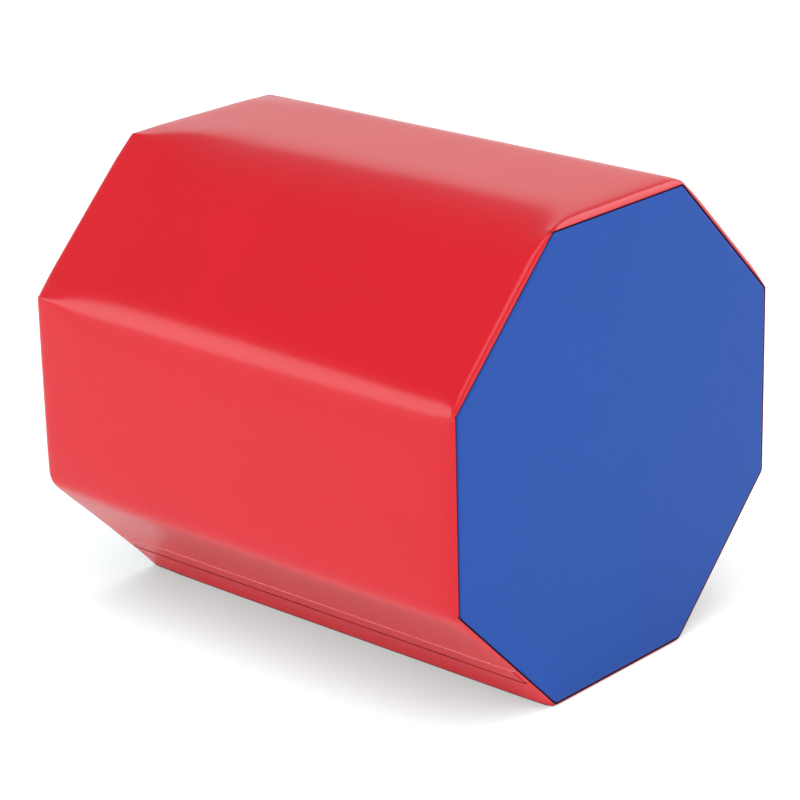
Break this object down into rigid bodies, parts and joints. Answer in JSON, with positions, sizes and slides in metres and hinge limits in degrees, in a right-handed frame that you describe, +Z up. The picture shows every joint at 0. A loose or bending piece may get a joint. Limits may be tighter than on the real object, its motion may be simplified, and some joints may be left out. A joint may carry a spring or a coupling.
{
  "type": "octagonal foam tumbling mat",
  "caption": "Octagonal foam tumbler in a zipped vinyl cover with contrasting end panels, a flap over the zip and a slider with a pull tab.",
  "frame": {"origin": "on the floor under the middle of the mat: the centre of the bottom face of its box", "axes": "+Z up, Y along the mat from the front end panel (-Y) to the rear end panel (+Y), X across it; the zip is on the face that looks down and towards -X"},
  "size_m": [0.65, 0.75, 0.65],
  "materials": {
    "red_vinyl": "satin, fine grain, vinyl-coated fabric",
    "blue_vinyl": "satin matte, fine grain, vinyl-coated fabric",
    "foam": "matte closed-cell polyethylene foam",
    "zip_tape": "woven polyester tape",
    "zip_coil": "nylon monofilament",
    "nickel": "nickel plated",
    "red_thread": "twisted bonded polyester thread",
    "seam_thread": "twisted bonded polyester thread, in the shade of the seam"
  },
  "bodies": {
    "mat": {"wrap_panel": "red_vinyl", "front_end_panel": "blue_vinyl", "rear_end_panel": "blue_vinyl", "front_seam_thread": "seam_thread", "rear_seam_thread": "seam_thread", "foam_plank_1": "foam", "foam_plank_2": "foam", "foam_plank_3": "foam", "foam_plank_4": "foam", "foam_plank_5": "foam", "foam_plank_6": "foam", "zip_tape_upper": "zip_tape", "zip_tape_lower": "zip_tape", "zip_coil_upper": "zip_coil", "zip_coil_lower": "zip_coil", "zip_top_stop_upper": "nickel", "zip_top_stop_lower": "nickel", "zip_bottom_stop": "nickel", "flap_topstitch": "red_thread", "hem_stitch": "red_thread"},
    "flap": {"zip_flap": "red_vinyl"},
    "slider": {"zip_slider": "nickel"},
    "pull": {"zip_pull": "nickel"}
  },
  "joints": [
    {"name": "zip_flap_lift", "type": "hinge", "parent": "mat", "child": "flap", "pos_m": [-0.20957, 0, 0.07495], "axis": [0, 1, 0], "range_deg": [0, 150], "stiffness_Nm_per_rad": 0.02, "springref_deg": -22.92},
    {"name": "zip_slider_travel", "type": "slide", "parent": "mat", "child": "slider", "axis": [0, -1, 0], "range_m": [0, 0.6635]},
    {"name": "zip_pull_swing", "type": "hinge", "parent": "slider", "child": "pull", "pos_m": [-0.20042, 0.3352, 0.07138], "axis": [0.7071, 0, -0.7071], "range_deg": [0, 45]}
  ],
  "couplings": [
    {"joint": "zip_pull_swing", "follows": "zip_flap_lift", "ratio": 0.3}
  ]
}
